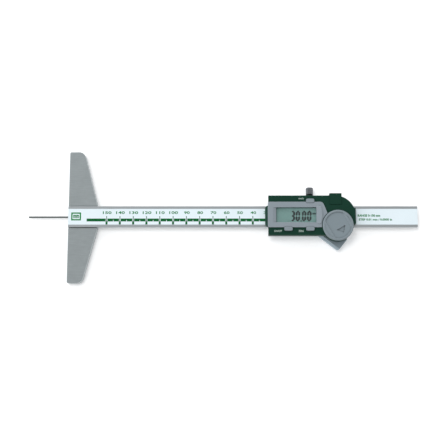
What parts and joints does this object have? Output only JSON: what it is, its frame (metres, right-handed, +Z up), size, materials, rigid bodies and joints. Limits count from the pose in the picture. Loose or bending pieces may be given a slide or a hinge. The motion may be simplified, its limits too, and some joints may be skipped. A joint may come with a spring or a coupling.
{
  "type": "digital depth caliper",
  "caption": "Depth measuring instrument: a long bar with a printed scale, a crossbar with the measuring face, and a display slider that pushes out a thin rod.",
  "frame": {"origin": "centre of the measuring face, at the height of the plane that the instrument lies on", "axes": "+X along the bar, away from the measuring face; +Y across it towards the lock screw; +Z up, out of the display"},
  "size_m": [0.293, 0.1, 0.0172],
  "materials": {
    "satin_steel": "satin ground stainless steel",
    "rod_steel": "ground steel",
    "frame_steel": "matt cast and ground steel",
    "screw_steel": "dark steel",
    "lock_steel": "knurled steel",
    "copper_grating": "etched copper",
    "brass": "machined brass",
    "gold_contact": "plated spring sheet",
    "scale_label": "satin white film",
    "green_ink": "printed ink",
    "green_plastic": "matt moulded plastic",
    "grey_plastic": "silver grey moulded plastic",
    "button_grey": "silver grey moulded plastic",
    "cover_grey": "silver grey moulded plastic",
    "wiper_rubber": "dark rubber",
    "seal_rubber": "black rubber",
    "connector_rubber": "layered rubber",
    "clear_window": "clear",
    "lcd_glass": "reflective grey green",
    "board_green": "glass fibre board",
    "black_plastic": "black moulded plastic",
    "cell_steel": "plated steel can"
  },
  "bodies": {
    "beam": {"beam": "satin_steel", "scale_strip": "copper_grating", "scale_label": "scale_label", "graduations": "green_ink", "base": "satin_steel", "base_screws": "screw_steel", "rod_guide": "brass", "end_stop": "satin_steel", "end_stop_screws": "screw_steel"},
    "lock_screw": {"lock_screw": "lock_steel"},
    "on_off_button": {"on_off_button": "button_grey"},
    "zero_button": {"zero_button": "button_grey"},
    "unit_button": {"unit_button": "button_grey"},
    "battery_cover": {"battery_cover": "cover_grey", "battery_seal": "seal_rubber"},
    "port_cover": {"port_cover": "green_plastic"},
    "slider": {"rear_plate": "satin_steel", "depth_rod": "rod_steel", "rear_plate_screws": "screw_steel", "housing_screws": "screw_steel", "gib_screws": "screw_steel", "gib": "brass", "rod_clamp": "brass", "slider_frame": "frame_steel", "left_wiper": "wiper_rubber", "right_wiper": "wiper_rubber", "sensor_plate": "board_green", "circuit_board": "board_green", "controller_chip": "black_plastic", "dome_switches": "black_plastic", "lcd_connectors": "connector_rubber", "lcd_panel": "lcd_glass", "display_window": "clear_window", "housing": "green_plastic", "bezel": "grey_plastic", "coin_cell": "cell_steel", "cell_contact_minus": "gold_contact", "cell_contact_plus": "gold_contact", "port_contacts": "gold_contact", "lock_collar": "black_plastic"}
  },
  "joints": [
    {"name": "slider_slide", "type": "slide", "parent": "beam", "child": "slider", "axis": [1, 0, 0], "range_m": [-0.12, 0.03]},
    {"name": "lock_screw_turn", "type": "hinge", "parent": "slider", "child": "lock_screw", "pos_m": [0.1819, 0.018, 0.006], "axis": [0, -1, 0], "range_deg": [-360, 120]},
    {"name": "on_off_press", "type": "slide", "parent": "slider", "child": "on_off_button", "axis": [0, 0, -1], "range_m": [0, 0.0005], "stiffness_N_per_m": 2000},
    {"name": "zero_press", "type": "slide", "parent": "slider", "child": "zero_button", "axis": [0, 0, -1], "range_m": [0, 0.0005], "stiffness_N_per_m": 2000},
    {"name": "unit_press", "type": "slide", "parent": "slider", "child": "unit_button", "axis": [0, 0, -1], "range_m": [0, 0.0005], "stiffness_N_per_m": 2000},
    {"name": "battery_cover_turn", "type": "hinge", "parent": "slider", "child": "battery_cover", "pos_m": [0.2023, -0.0077, 0.0165], "axis": [0, 0, 1], "range_deg": [0, 45]},
    {"name": "port_cover_slide", "type": "slide", "parent": "slider", "child": "port_cover", "axis": [0, 1, 0], "range_m": [0, 0.006]}
  ]
}
